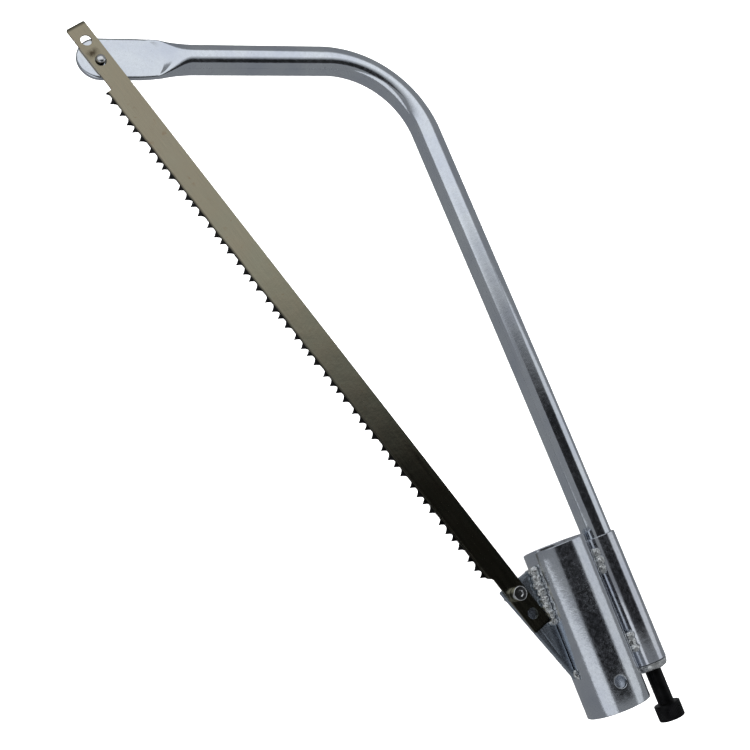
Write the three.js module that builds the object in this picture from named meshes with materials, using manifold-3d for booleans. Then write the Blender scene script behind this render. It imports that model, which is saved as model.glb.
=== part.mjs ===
// Pole-mounted bow saw head: a bent steel tube carries one end of a thin
// coarse-toothed blade, a welded pole socket carries the other end, and a
// tension screw pushes the tube out of its guide sleeve to stretch the blade.
//
// Working axes while building: origin on the axis of the pole socket at its
// upper rim, +Y along the pole towards the saw tip, +X towards the guide
// sleeve, +Z out of the front face. The whole assembly is moved at the end so
// that its bounding box stands centred on the origin with its lowest point at
// Z = 0.
import * as THREE from 'three';
import { mergeVertices } from 'three/addons/utils/BufferGeometryUtils.js';
import Module from 'manifold-3d';

const wasm = await Module();
wasm.setup();

// ---------------------------------------------------------------- dimensions
const GAP = 0.3;                 // clearance left between faces that touch

// pole socket
const SOCKET_R = 15.9;           // outer radius
const SOCKET_BORE_R = 14.1;      // takes a 28 mm pole
const SOCKET_LEN = 82.4;
const FIX_HOLE_R = 3.0;          // hole for the screw that holds the pole
const FIX_HOLE_Y = -69.4;
const FIX_HOLE_TURN = -10;       // degrees from +Z towards -X

// guide sleeve and the axis that it shares with bar and tension screw
const SLEEVE_TILT = -0.007;      // dx per dy of the sleeve axis
const SLEEVE_X = 25.1;           // axis x at SLEEVE_Y
const SLEEVE_Y = -60;
const SLEEVE_R = 8.6;
const SLEEVE_BORE_R = 7.6;
const SLEEVE_TOP = -4.2;
const SLEEVE_END = -69.3;

// bow tube
const TUBE_R = 7.3;
const TUBE_WALL = 1.5;
const BAR_END = -36.9;           // lower end of the tube, inside the sleeve
const LEG_TOP = [20.64, 216.35]; // where the leg runs into the bend
const LEG_TOP_SLOPE = -0.0215;
const BEND_R = 52;
const BEND_OVAL = 0.09;         // how much the bend has squeezed the tube
const BEND_TURN = 76.79;         // degrees
const ARM_LEN = 122.4;           // end of the bend to the tip of the nose
const FLAT_HALF_W = 10.7;
const FLAT_HALF_T = 1.6;

// threaded plug, thrust plug and tension screw (M8, socket head)
const NUT_LEN = 10;
const NUT_R = SLEEVE_BORE_R - GAP;
const SCREW_R = 3.95;
const SCREW_HEAD_R = 6.5;
const SCREW_HEAD_Y0 = -90.4;
const SCREW_HEAD_H = 8.0;
const SCREW_TIP = -40.4;

// gusset plate
const PLATE_FRONT = 1.6;
const PLATE_BACK = -1.4;
const GUSSET = [[-16.2, -6.1], [-36.7, -11.0], [-16.2, -62.9]];

// blade: local s runs along the blade from its upper outer hole, local v runs
// across it towards the teeth
const BLADE_ORIGIN = [-133.16, 298.52];
const BLADE_DIR = [0.31425, -0.94934];
const BLADE_T = 0.9;
const BLADE_Z0 = PLATE_FRONT + 0.25;
const BLADE_S0 = -8.8;
const BLADE_S1 = 349.4;
const BLADE_V = 5.2;            // half width of the plain ends
const GULLET_V = 7.6;
const TIP_V = 10.6;
const HOLE_R = 2.75;
const HOLES = [0, 11.65, 329.5, 341.5];
const HOLE_V = [0, 0.5, 0.5, 0];  // the two working holes sit slightly nearer the teeth
const GROUP_PITCH = 22.0;        // four teeth and one wide gullet
const GROUP_TIPS = [0, 5.36, 9.67, 14.9];
const GROUP_START = 38.5;

// blade fasteners
const PIN_R = 2.2;
const PIN_TOP = 2.6;             // how far the pin stands above the blade
const PIN_OFFSET = 0.25;         // the pin bears on the outer side of its hole
const M4_R = 2.0;
const M4_HEAD_R = 3.5;
const M4_HEAD_H = 4.0;
const M4_NUT_AF = 7.0;
const M4_NUT_H = 3.2;

const deg = THREE.MathUtils.degToRad;

// ------------------------------------------------------------------ helpers
function positionsOnly(geometry) {
  let g = geometry.clone();
  for (const name of Object.keys(g.attributes)) {
    if (name !== 'position') g.deleteAttribute(name);
  }
  return mergeVertices(g, 1e-5);
}

function solid(geometry) {
  const g = positionsOnly(geometry);
  return new wasm.Manifold(new wasm.Mesh({
    numProp: 3,
    vertProperties: new Float32Array(g.attributes.position.array),
    triVerts: new Uint32Array(g.index.array),
  }));
}

function geometryOf(manifold) {
  const m = manifold.getMesh();
  const g = new THREE.BufferGeometry();
  const n = m.numProp;
  const count = m.vertProperties.length / n;
  const p = new Float32Array(count * 3);
  for (let i = 0; i < count; i++) {
    for (let k = 0; k < 3; k++) p[3 * i + k] = m.vertProperties[n * i + k];
  }
  g.setAttribute('position', new THREE.BufferAttribute(p, 3));
  g.setIndex(Array.from(m.triVerts));
  return g;
}

function flatShaded(geometry) {
  const g = geometry.index ? geometry.toNonIndexed() : geometry;
  g.computeVertexNormals();
  return g;
}

// closed mesh from rings of points: outer skin, optional inner skin
function facesToGeometry(points, tris) {
  const g = new THREE.BufferGeometry();
  g.setAttribute('position', new THREE.Float32BufferAttribute(points.flat(), 3));
  g.setIndex(tris);
  return g;
}

// cylinder along Z from z0 to z1
function rodZ(r, z0, z1, seg = 32) {
  const g = new THREE.CylinderGeometry(r, r, z1 - z0, seg);
  g.rotateX(Math.PI / 2);
  g.translate(0, 0, (z0 + z1) / 2);
  return g;
}

// body of revolution about local Y: profile of [radius, y]
function turned(profile, seg = 48) {
  return new THREE.LatheGeometry(profile.map(([r, y]) => new THREE.Vector2(r, y)), seg);
}

function prism(outline, z0, z1, holes = []) {
  const pts = outline.map(([x, y]) => new THREE.Vector2(x, y));
  if (THREE.ShapeUtils.isClockWise(pts)) pts.reverse();
  const shape = new THREE.Shape(pts);
  for (const [x, y, r, seg] of holes) {
    const h = [];
    for (let i = 0; i < seg; i++) {
      const a = -2 * Math.PI * i / seg;
      h.push(new THREE.Vector2(x + r * Math.cos(a), y + r * Math.sin(a)));
    }
    shape.holes.push(new THREE.Path(h));
  }
  const g = new THREE.ExtrudeGeometry(shape, { depth: z1 - z0, bevelEnabled: false, curveSegments: 1 });
  g.translate(0, 0, z0);
  return g;
}

// place geometry built about local Y on the sleeve axis (local y = work y)
const sleeveAxisX = (y) => SLEEVE_X + SLEEVE_TILT * (y - SLEEVE_Y);
function onSleeveAxis(geometry) {
  const m = new THREE.Matrix4().makeRotationZ(-Math.atan(SLEEVE_TILT));
  const g = geometry.clone();
  g.applyMatrix4(m);
  const x0 = sleeveAxisX(0);
  g.translate(x0, 0, 0);
  return g;
}

// lump of weld metal: overlapping ellipsoids
function bead(lumps, seg = 10) {
  let sum = null;
  for (const [x, y, z, rx, ry, rz] of lumps) {
    const e = new THREE.SphereGeometry(1, seg, Math.round(seg * 0.7));
    e.scale(rx, ry, rz);
    e.translate(x, y, z);
    const s = solid(e);
    sum = sum ? sum.add(s) : s;
  }
  return sum;
}

// ---------------------------------------------------------------- materials
const material = (color, roughness, metalness) =>
  new THREE.MeshStandardMaterial({ color, roughness, metalness });
const zinc = () => material(0x9aa1a8, 0.32, 0.9);
const zincDark = () => material(0x7d858d, 0.38, 0.9);
const blueSteel = () => material(0x4a4a40, 0.3, 0.85);
const blackOxide = () => material(0x0c0c0d, 0.5, 0.6);
const weldMetal = () => material(0xb4b8bb, 0.42, 0.9);
const silver = () => material(0xb9bcbc, 0.25, 0.95);

const assembly = new THREE.Group();
function add(name, geometry, mat) {
  const mesh = new THREE.Mesh(flatShaded(geometry), mat);
  mesh.name = name;
  assembly.add(mesh);
  return mesh;
}

// -------------------------------------------------------------- pole socket
{
  const g = turned([
    [SOCKET_BORE_R, -SOCKET_LEN + 0.4], [SOCKET_BORE_R + 0.4, -SOCKET_LEN],
    [SOCKET_R - 0.4, -SOCKET_LEN], [SOCKET_R, -SOCKET_LEN + 0.4],
    [SOCKET_R, -0.4], [SOCKET_R - 0.4, 0],
    [SOCKET_BORE_R + 0.4, 0], [SOCKET_BORE_R, -0.4],
    [SOCKET_BORE_R, -SOCKET_LEN + 0.4],
  ], 56);
  const drill = rodZ(FIX_HOLE_R, SOCKET_BORE_R - 4, SOCKET_R + 4, 24);
  drill.rotateY(deg(FIX_HOLE_TURN));
  drill.translate(0, FIX_HOLE_Y, 0);
  add('pole_socket', geometryOf(solid(g).subtract(solid(drill))), zinc());
}

// ------------------------------------------------------------- guide sleeve
add('guide_sleeve', onSleeveAxis(turned([
  [SLEEVE_BORE_R, SLEEVE_END], [SLEEVE_R, SLEEVE_END], [SLEEVE_R, SLEEVE_TOP - 0.3],
  [SLEEVE_R - 0.3, SLEEVE_TOP], [SLEEVE_BORE_R, SLEEVE_TOP], [SLEEVE_BORE_R, SLEEVE_END],
], 40)), zinc());

// plug with the M8 thread, in the lower end of the sleeve
add('sleeve_nut', onSleeveAxis(turned([
  [SCREW_R + GAP, SLEEVE_END], [NUT_R - 0.5, SLEEVE_END], [NUT_R, SLEEVE_END + 0.5],
  [NUT_R, SLEEVE_END + NUT_LEN - 0.5], [NUT_R - 0.5, SLEEVE_END + NUT_LEN],
  [SCREW_R + GAP, SLEEVE_END + NUT_LEN], [SCREW_R + GAP, SLEEVE_END],
], 28)), zincDark());

// weld that closes the end of the sleeve around the plug
add('sleeve_end_weld', onSleeveAxis(turned([
  [5.3, SLEEVE_END - GAP], [5.3, SLEEVE_END - 1.5], [5.9, SLEEVE_END - 2.1], [6.9, SLEEVE_END - 2.2],
  [7.8, SLEEVE_END - 1.9], [8.35, SLEEVE_END - 1.2], [8.5, SLEEVE_END - GAP],
  [5.3, SLEEVE_END - GAP],
], 28)), weldMetal());

// ------------------------------------------------------------------ bow tube
// centreline: [x, y, heading, distance from the nose]
const legStart = [sleeveAxisX(SLEEVE_TOP), SLEEVE_TOP];
const path = [];
for (const y of [BAR_END, -20]) path.push([sleeveAxisX(y), y, Math.PI / 2 + Math.atan(-SLEEVE_TILT)]);
const LEG_STEPS = 5;
for (let i = 0; i < LEG_STEPS; i++) {
  const t = i / LEG_STEPS;
  const L = LEG_TOP[1] - legStart[1];
  const h00 = 2 * t ** 3 - 3 * t ** 2 + 1, h10 = t ** 3 - 2 * t ** 2 + t;
  const h01 = -2 * t ** 3 + 3 * t ** 2, h11 = t ** 3 - t ** 2;
  const x = h00 * legStart[0] + h10 * L * SLEEVE_TILT + h01 * LEG_TOP[0] + h11 * L * LEG_TOP_SLOPE;
  const dx = (6 * t * t - 6 * t) * (legStart[0] - LEG_TOP[0]) / L
    + (3 * t * t - 4 * t + 1) * SLEEVE_TILT + (3 * t * t - 2 * t) * LEG_TOP_SLOPE;
  path.push([x, legStart[1] + t * L, Math.PI / 2 + Math.atan(-dx)]);
}
const head0 = Math.PI / 2 + Math.atan(-LEG_TOP_SLOPE);
const bendCentre = [LEG_TOP[0] - BEND_R * Math.sin(head0), LEG_TOP[1] + BEND_R * Math.cos(head0)];
const BEND_STEPS = 12;
for (let i = 0; i <= BEND_STEPS; i++) {
  const a = head0 + deg(BEND_TURN) * i / BEND_STEPS;
  path.push([bendCentre[0] + BEND_R * Math.sin(a), bendCentre[1] - BEND_R * Math.cos(a), a]);
}
const armStart = path[path.length - 1];
const armHead = armStart[2];
const armDir = [Math.cos(armHead), Math.sin(armHead)];
const nose = [armStart[0] + ARM_LEN * armDir[0], armStart[1] + ARM_LEN * armDir[1]];
// stations on the arm, by distance from the nose: [distance, half width, half thickness]
const noseW = (s) => Math.sqrt(Math.max(0, FLAT_HALF_W ** 2 - (FLAT_HALF_W - s) ** 2));
const STATIONS = [
  [59, TUBE_R, TUBE_R], [55, TUBE_R, TUBE_R], [52.5, 7.4, 7.05], [49.9, 7.7, 6.4],
  [46.9, 8.15, 5.4], [43.9, 8.7, 4.25], [40.9, 9.3, 3.1], [38.4, 9.8, 2.25], [35.9, 10.2, 1.75],
  [32.9, 10.5, FLAT_HALF_T], [28.9, FLAT_HALF_W, FLAT_HALF_T], [20.5, FLAT_HALF_W, FLAT_HALF_T], [FLAT_HALF_W, FLAT_HALF_W, FLAT_HALF_T],
];
for (const s of [8.6, 6.2, 4.2, 2.6, 1.4, 0.6, 0.15]) STATIONS.push([s, noseW(s), FLAT_HALF_T]);

{
  const SEG = 24;
  const sections = [];
  for (const [x, y, a] of path) {
    const squeeze = Math.sin(Math.PI * Math.min(1, Math.max(0, (a - head0) / deg(BEND_TURN))));
    sections.push([x, y, a, TUBE_R * (1 - BEND_OVAL * squeeze), TUBE_R * (1 + 0.4 * BEND_OVAL * squeeze)]);
  }
  for (const [s, w, t] of STATIONS) {
    sections.push([nose[0] - s * armDir[0], nose[1] - s * armDir[1], armHead, w, t]);
  }
  const ring = ([x, y, a, w, t]) => {
    const side = [-Math.sin(a), Math.cos(a)];
    const flat = t < 0.97 * w ? w - t : 0, r = flat > 0 ? t : w;
    const out = [];
    for (let k = 0; k < SEG; k++) {
      const th = 2 * Math.PI * k / SEG;
      const c = Math.cos(th);
      const u = (Math.abs(c) < 1e-9 ? 0 : Math.sign(c) * flat) + r * c;
      out.push([x + side[0] * u, y + side[1] * u, t * Math.sin(th)]);
    }
    return out;
  };
  const pts = [], tris = [];
  const outer = sections.map(ring);
  const innerSections = sections
    .filter(([, , , , t]) => t - TUBE_WALL > 0.2)
    .map(([x, y, a, w, t]) => [x, y, a, w - TUBE_WALL, t - TUBE_WALL]);
  const inner = innerSections.map(ring);
  const push = (rings) => rings.map((r) => { const b = pts.length; pts.push(...r); return b; });
  const ob = push(outer), ib = push(inner);
  const band = (b0, b1, flip) => {
    for (let k = 0; k < SEG; k++) {
      const k1 = (k + 1) % SEG;
      const q = [b0 + k, b0 + k1, b1 + k1, b1 + k];
      if (flip) tris.push(q[0], q[2], q[1], q[0], q[3], q[2]);
      else tris.push(q[0], q[1], q[2], q[0], q[2], q[3]);
    }
  };
  for (let i = 0; i + 1 < ob.length; i++) band(ob[i], ob[i + 1], false);
  for (let i = 0; i + 1 < ib.length; i++) band(ib[i], ib[i + 1], true);
  band(ob[0], ib[0], true);
  const cap = (base, at, flip) => {
    const c = pts.length;
    pts.push(at);
    for (let k = 0; k < SEG; k++) {
      const k1 = (k + 1) % SEG;
      if (flip) tris.push(c, base + k1, base + k); else tris.push(c, base + k, base + k1);
    }
  };
  cap(ob[ob.length - 1], [nose[0], nose[1], 0], false);
  const lastIn = innerSections[innerSections.length - 1];
  cap(ib[ib.length - 1], [lastIn[0], lastIn[1], 0], true);
  const tube = solid(facesToGeometry(pts, tris));
  const drill = rodZ(PIN_R + GAP, -6, 6, 28);
  drill.translate(pinXY()[0], pinXY()[1], 0);
  let cut = tube.subtract(solid(drill));
  if (cut.volume() < 0) throw new Error('bow tube is inside out');
  add('bow_tube', geometryOf(cut), zinc());
}

function bladePoint(s, v) {
  const [dx, dy] = BLADE_DIR;
  return [BLADE_ORIGIN[0] + s * dx + v * dy, BLADE_ORIGIN[1] + s * dy - v * dx];
}
function pinXY() {
  const [x, y] = bladePoint(HOLES[1], HOLE_V[1]);
  return [x - PIN_OFFSET * BLADE_DIR[0], y - PIN_OFFSET * BLADE_DIR[1]];
}

// plug pressed into the lower end of the bow tube: the screw pushes on it
add('thrust_plug', onSleeveAxis(turned([
  [0, SCREW_TIP + GAP], [6.5, SCREW_TIP + GAP], [7.0, SCREW_TIP + GAP + 0.5], [7.0, BAR_END - GAP],
  [TUBE_R - TUBE_WALL - GAP, BAR_END - GAP], [TUBE_R - TUBE_WALL - GAP, BAR_END + 9],
  [4.6, BAR_END + 10], [0, BAR_END + 10],
], 24)), zincDark());

// headless pin riveted through the flattened end of the tube
{
  const z1 = BLADE_Z0 + BLADE_T + PIN_TOP;
  const g = turned([
    [0, -3.1], [3.0, -3.1], [3.7, -2.6], [3.8, -FLAT_HALF_T - GAP],
    [PIN_R, -FLAT_HALF_T - GAP], [PIN_R, z1 - 0.5], [PIN_R - 0.45, z1 - 0.1], [1.0, z1], [0, z1],
  ], 24);
  g.rotateX(Math.PI / 2);
  const [x, y] = pinXY();
  g.translate(x, y, 0);
  add('blade_pin', g, silver());
}

// ---------------------------------------------------------------- the blade
{
  const out = [];                      // [s, v]
  const c = 0.8;
  out.push([BLADE_S0 + c, -BLADE_V], [BLADE_S1 - c, -BLADE_V], [BLADE_S1, -BLADE_V + c]);
  out.push([BLADE_S1, BLADE_V - c], [BLADE_S1 - c, BLADE_V]);
  const tips = [GROUP_START - GROUP_PITCH + GROUP_TIPS[3]];
  for (let k = 0; k < 12; k++) for (const t of GROUP_TIPS) tips.push(GROUP_START + GROUP_PITCH * k + t);
  for (const t of GROUP_TIPS.slice(0, 3)) tips.push(GROUP_START + GROUP_PITCH * 12 + t);
  tips.reverse();
  out.push([tips[0] + 3.9, BLADE_V], [tips[0] + 2.6, BLADE_V + 0.9], [tips[0] + 1.6, GULLET_V + 0.6]);
  for (let i = 0; i < tips.length; i++) {
    out.push([tips[i], TIP_V]);
    const left = i + 1 < tips.length ? tips[i + 1] : null;
    out.push([tips[i] - 0.95, TIP_V - 1.75], [tips[i] - 1.4, TIP_V - 2.6], [tips[i] - 2.0, GULLET_V + 0.05]);
    if (left !== null) out.push([left + 2.0, GULLET_V + 0.05], [left + 1.4, TIP_V - 2.6], [left + 0.95, TIP_V - 1.75]);
  }
  const first = tips[tips.length - 1] - 5.2;
  out.push([first + 1.1, GULLET_V + 0.5], [first + 0.3, TIP_V - 1.6], [first, TIP_V - 1.7]);
  out.push([first - 0.2, BLADE_V + 0.6], [first - 0.7, BLADE_V]);
  out.push([BLADE_S0 + c, BLADE_V], [BLADE_S0, BLADE_V - c], [BLADE_S0, -BLADE_V + c]);
  // drop points that fall on top of each other in the narrow gullets
  const clean = out.filter((p, i) => {
    const q = out[(i + out.length - 1) % out.length];
    return Math.hypot(p[0] - q[0], p[1] - q[1]) > 0.02;
  });
  const outline = clean.map(([s, v]) => bladePoint(s, v));
  const holes = HOLES.map((s, i) => [...bladePoint(s, HOLE_V[i]), HOLE_R, 20]);
  add('saw_blade', prism(outline, BLADE_Z0, BLADE_Z0 + BLADE_T, holes), blueSteel());
}

// ------------------------------------------------------------ gusset + screw
const [screwX, screwY] = bladePoint(HOLES[2], HOLE_V[2]);
add('gusset_plate', prism(GUSSET, PLATE_BACK, PLATE_FRONT, [[screwX, screwY, M4_R + GAP, 28]]), zincDark());

{
  const z0 = BLADE_Z0 + BLADE_T + 0.25, z1 = z0 + M4_HEAD_H;
  const end = PLATE_BACK - 0.25 - M4_NUT_H - 1.2;
  const body = turned([
    [0, end], [M4_R - 0.3, end], [M4_R, end + 0.4], [M4_R, z0], [M4_HEAD_R, z0],
    [M4_HEAD_R, z1 - 0.4], [M4_HEAD_R - 0.4, z1], [0, z1],
  ], 24);
  body.rotateX(Math.PI / 2);
  const hex = new THREE.CylinderGeometry(1.5 / Math.cos(Math.PI / 6), 1.5 / Math.cos(Math.PI / 6), 4, 6);
  hex.rotateX(Math.PI / 2);
  hex.translate(0, 0, z1);
  const m = solid(body).subtract(solid(hex));
  const g = geometryOf(m);
  g.translate(screwX, screwY, 0);
  add('blade_screw', g, silver());
}
{
  const zt = PLATE_BACK - 0.25;
  const r = M4_NUT_AF / 2 / Math.cos(Math.PI / 6);
  const hexagon = [];
  for (let i = 0; i < 6; i++) {
    const a = Math.PI * i / 3 + 0.3;
    hexagon.push([screwX + r * Math.cos(a), screwY + r * Math.sin(a)]);
  }
  add('blade_nut', prism(hexagon, zt - M4_NUT_H, zt, [[screwX, screwY, M4_R + GAP, 28]]), silver());
}

// ------------------------------------------------------------- tension screw
{
  const y1 = SCREW_HEAD_Y0 - SCREW_HEAD_H;
  const body = turned([
    [0, y1], [SCREW_HEAD_R - 0.7, y1], [SCREW_HEAD_R, y1 + 0.7], [SCREW_HEAD_R, SCREW_HEAD_Y0 - 0.2],
    [SCREW_HEAD_R - 0.2, SCREW_HEAD_Y0], [SCREW_R, SCREW_HEAD_Y0], [SCREW_R, SCREW_TIP - 0.8],
    [SCREW_R - 0.8, SCREW_TIP], [0, SCREW_TIP],
  ], 32);
  const hex = new THREE.CylinderGeometry(3 / Math.cos(Math.PI / 6), 3 / Math.cos(Math.PI / 6), 9, 6);
  hex.translate(0, y1, 0);
  add('tension_screw', onSleeveAxis(geometryOf(solid(body).subtract(solid(hex)))), blackOxide());
}

// --------------------------------------------------------------------- welds
const socketKeepOut = () => {
  const g = new THREE.CylinderGeometry(SOCKET_R + 0.25, SOCKET_R + 0.25, 200, 64);
  return solid(g);
};
const sleeveKeepOut = () => {
  const g = new THREE.CylinderGeometry(SLEEVE_R + 0.25, SLEEVE_R + 0.25, 200, 48);
  return solid(onSleeveAxis(g));
};
function crevice(name, y, side, len) {
  const lumps = [];
  const n = 3;
  for (let i = 0; i < n; i++) {
    const f = i / (n - 1) - 0.5;
    lumps.push([17.1 + 0.3 * Math.sin(5 * i + y), y + f * len * 0.62, side * (5.3 + 0.3 * Math.cos(3 * i + y)),
      3.1, len * 0.21, 2.3]);
  }
  const m = bead(lumps, 8).subtract(socketKeepOut()).subtract(sleeveKeepOut());
  add(name, geometryOf(m), weldMetal());
}
crevice('sleeve_tack_front_upper', -15.2, 1, 13);
crevice('sleeve_tack_front_lower', -56.6, 1, 10);
crevice('sleeve_tack_back_upper', -15.2, -1, 12);
crevice('sleeve_tack_back_lower', -56.6, -1, 12);

function plateBead(name, side, y0, y1, lumpsN) {
  const face = side > 0 ? PLATE_FRONT + 0.2 : PLATE_BACK - 0.2;
  const lumps = [];
  for (let i = 0; i < lumpsN; i++) {
    const f = i / (lumpsN - 1);
    const y = y0 + (y1 - y0) * f;
    lumps.push([-17.3 - 0.35 * Math.sin(4.1 * i), y, face + side * (0.9 + 0.25 * Math.cos(2.3 * i)),
      3.3 - 0.5 * f, Math.abs(y1 - y0) / lumpsN * 0.78, 2.5 - 0.3 * f]);
  }
  const box = new THREE.BoxGeometry(60, 120, 20);
  box.translate(-30, -35, face - side * 10);
  let m = bead(lumps, 8).subtract(socketKeepOut()).subtract(solid(box));
  if (side > 0) {
    // dressed back along the edge of the blade
    const strip = [[0, -BLADE_V - 0.4], [BLADE_S1 + 0.4, -BLADE_V - 0.4], [BLADE_S1 + 0.4, 20], [0, 20]]
      .map(([s, v]) => bladePoint(s, v));
    m = m.subtract(solid(prism(strip, -20, 20)));
  }
  add(name, geometryOf(m), weldMetal());
}
plateBead('gusset_weld_front', 1, -7.6, -32.5, 8);
plateBead('gusset_weld_back', -1, -9.0, -36.0, 8);
{
  const box = new THREE.BoxGeometry(60, 120, 20);
  box.translate(-30, -35, PLATE_FRONT + 0.2 - 10);
  const m = bead([[-16.6, -59.6, 2.5, 1.3, 2.2, 1.3], [-16.0, -61.4, 2.9, 1.2, 1.6, 1.2]], 8)
    .subtract(socketKeepOut()).subtract(solid(box));
  add('gusset_tip_weld', geometryOf(m), weldMetal());
}

// ------------------------------------------- bounding box centred, base at 0
const whole = new THREE.Box3();
for (const mesh of assembly.children) {
  mesh.geometry.computeBoundingBox();
  whole.union(mesh.geometry.boundingBox);
}
const shift = [-(whole.min.x + whole.max.x) / 2, -(whole.min.y + whole.max.y) / 2, -whole.min.z];
for (const mesh of assembly.children) mesh.position.set(shift[0], shift[1], shift[2]);

export default assembly;
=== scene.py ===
import math

import bmesh
import bpy
import numpy as np
from mathutils import Matrix, Vector
from mathutils.geometry import tessellate_polygon

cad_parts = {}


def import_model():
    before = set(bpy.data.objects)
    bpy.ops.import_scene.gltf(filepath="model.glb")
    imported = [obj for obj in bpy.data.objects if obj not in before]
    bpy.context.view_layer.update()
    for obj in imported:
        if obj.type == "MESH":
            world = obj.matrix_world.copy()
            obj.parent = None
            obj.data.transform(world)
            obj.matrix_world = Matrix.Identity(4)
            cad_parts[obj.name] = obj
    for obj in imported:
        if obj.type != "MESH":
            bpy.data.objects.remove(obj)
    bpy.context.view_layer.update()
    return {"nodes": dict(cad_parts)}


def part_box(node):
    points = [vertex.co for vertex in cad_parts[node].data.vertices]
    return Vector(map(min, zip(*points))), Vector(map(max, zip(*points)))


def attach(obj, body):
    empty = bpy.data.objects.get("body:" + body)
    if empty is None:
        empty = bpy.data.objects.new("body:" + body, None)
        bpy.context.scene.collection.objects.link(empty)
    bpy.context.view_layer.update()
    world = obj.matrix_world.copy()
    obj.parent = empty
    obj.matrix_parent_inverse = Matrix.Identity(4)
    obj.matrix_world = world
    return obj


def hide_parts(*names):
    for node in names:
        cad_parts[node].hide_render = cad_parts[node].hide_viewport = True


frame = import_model()

_lo, _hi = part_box("pole_socket")
ORIGIN = np.array([(_lo.x + _hi.x) / 2, _hi.y, (_lo.z + _hi.z) / 2])  # metres


def world(points):
    """Working millimetres to row metres."""
    return np.asarray(points, float) / 1000.0 + ORIGIN


# ------------------------------------------------------------------ sizes
SOCKET_R, SOCKET_BORE_R, SOCKET_LEN = 15.9, 14.1, 82.4
FIX_HOLE_R, FIX_HOLE_Y, FIX_HOLE_TURN = 3.0, -69.4, -10.0
SLEEVE_TILT, SLEEVE_X, SLEEVE_Y = -0.007, 25.1, -60.0
SLEEVE_R, SLEEVE_BORE_R, SLEEVE_TOP, SLEEVE_END = 8.6, 7.6, -4.2, -69.3
TUBE_R, TUBE_WALL, BAR_END = 7.3, 1.5, -36.9
LEG_TOP, LEG_TOP_SLOPE = (20.64, 216.35), -0.0215
BEND_R, BEND_OVAL, BEND_TURN = 52.0, 0.09, math.radians(76.79)
ARM_LEN, FLAT_W, FLAT_T = 122.36, 10.7, 1.6
SCREW_R, SCREW_HEAD_R, SCREW_HEAD_Y0, SCREW_HEAD_H, SCREW_TIP = 3.95, 6.5, -90.4, 8.0, -40.4
PLATE_FRONT, PLATE_BACK = 1.6, -1.4
GUSSET = [(-16.2, -6.1), (-36.7, -11.0), (-16.2, -62.9)]
BLADE_O = np.array([-133.16, 298.52])
BLADE_D = np.array([0.31425, -0.94934])
BLADE_V_AXIS = np.array([BLADE_D[1], -BLADE_D[0]])
BLADE_T, BLADE_Z0 = 0.9, PLATE_FRONT + 0.25
BLADE_S0, BLADE_S1, BLADE_V, GULLET_V, TIP_V = -8.77, 349.4, 5.2, 7.6, 10.6
HOLES = [(0.0, 0.0), (11.65, 0.5), (329.5, 0.5), (341.5, 0.0)]
HOLE_R = 2.75
GROUP_PITCH, GROUP_TIPS, GROUP_START = 22.0, (0, 5.36, 9.67, 14.9), 38.5
PIN_R, PIN_TOP, PIN_OFFSET = 2.2, 2.6, 0.25
M4_R, M4_HEAD_R, M4_HEAD_H, M4_NUT_H = 2.0, 3.5, 4.0, 3.2


def sleeve_x(y):
    return SLEEVE_X + SLEEVE_TILT * (y - SLEEVE_Y)


def blade_xy(s, v):
    return BLADE_O + s * BLADE_D + v * BLADE_V_AXIS


# ------------------------------------------------------------------ mesh tools
def make(name, verts_mm, faces, smooth_angle=32.0, bevel=None):
    """A mesh object from working millimetres, smooth except over edges sharper than smooth_angle."""
    me = bpy.data.meshes.new(name)
    me.from_pydata([tuple(p) for p in world(verts_mm)], [], [tuple(f) for f in faces])
    me.validate()
    ob = bpy.data.objects.new(name, me)
    bpy.context.scene.collection.objects.link(ob)
    bm = bmesh.new()
    bm.from_mesh(me)
    bmesh.ops.remove_doubles(bm, verts=bm.verts, dist=1e-7)
    bmesh.ops.recalc_face_normals(bm, faces=bm.faces)
    if bm.calc_volume() < 0:
        bmesh.ops.reverse_faces(bm, faces=bm.faces)
    bm.to_mesh(me)
    bm.free()
    if bevel:
        m = ob.modifiers.new("bevel", "BEVEL")
        m.width = bevel[0] / 1000
        m.segments = bevel[1]
        m.limit_method = "ANGLE"
        m.angle_limit = math.radians(bevel[2] if len(bevel) > 2 else 35)
        m.use_clamp_overlap = True
        m.miter_outer = "MITER_ARC"
        bake(ob)
    sharpen(ob, smooth_angle)
    return ob


def bake(ob):
    """Applies the object's modifiers."""
    dg = bpy.context.evaluated_depsgraph_get()
    dg.update()
    me = bpy.data.meshes.new_from_object(ob.evaluated_get(dg), depsgraph=dg)
    old = ob.data
    ob.modifiers.clear()
    ob.data = me
    bpy.data.meshes.remove(old)


def sharpen(ob, angle):
    bm = bmesh.new()
    bm.from_mesh(ob.data)
    limit = math.radians(angle)
    for f in bm.faces:
        f.smooth = True
    for e in bm.edges:
        e.smooth = not (len(e.link_faces) == 2 and e.calc_face_angle(0.0) > limit)
    bm.to_mesh(ob.data)
    bm.free()


def cut(ob, cutter, smooth_angle=32.0):
    m = ob.modifiers.new("cut", "BOOLEAN")
    m.operation = "DIFFERENCE"
    m.solver = "EXACT"
    m.object = cutter
    bake(ob)
    me = cutter.data
    bpy.data.objects.remove(cutter)
    bpy.data.meshes.remove(me)
    sharpen(ob, smooth_angle)


def ring_bands(n_rings, n, closed=True, first=0):
    faces = []
    for i in range(n_rings - 1):
        a, b = first + i * n, first + (i + 1) * n
        for k in range(n):
            k1 = (k + 1) % n
            faces.append((a + k, a + k1, b + k1, b + k))
    return faces


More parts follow.
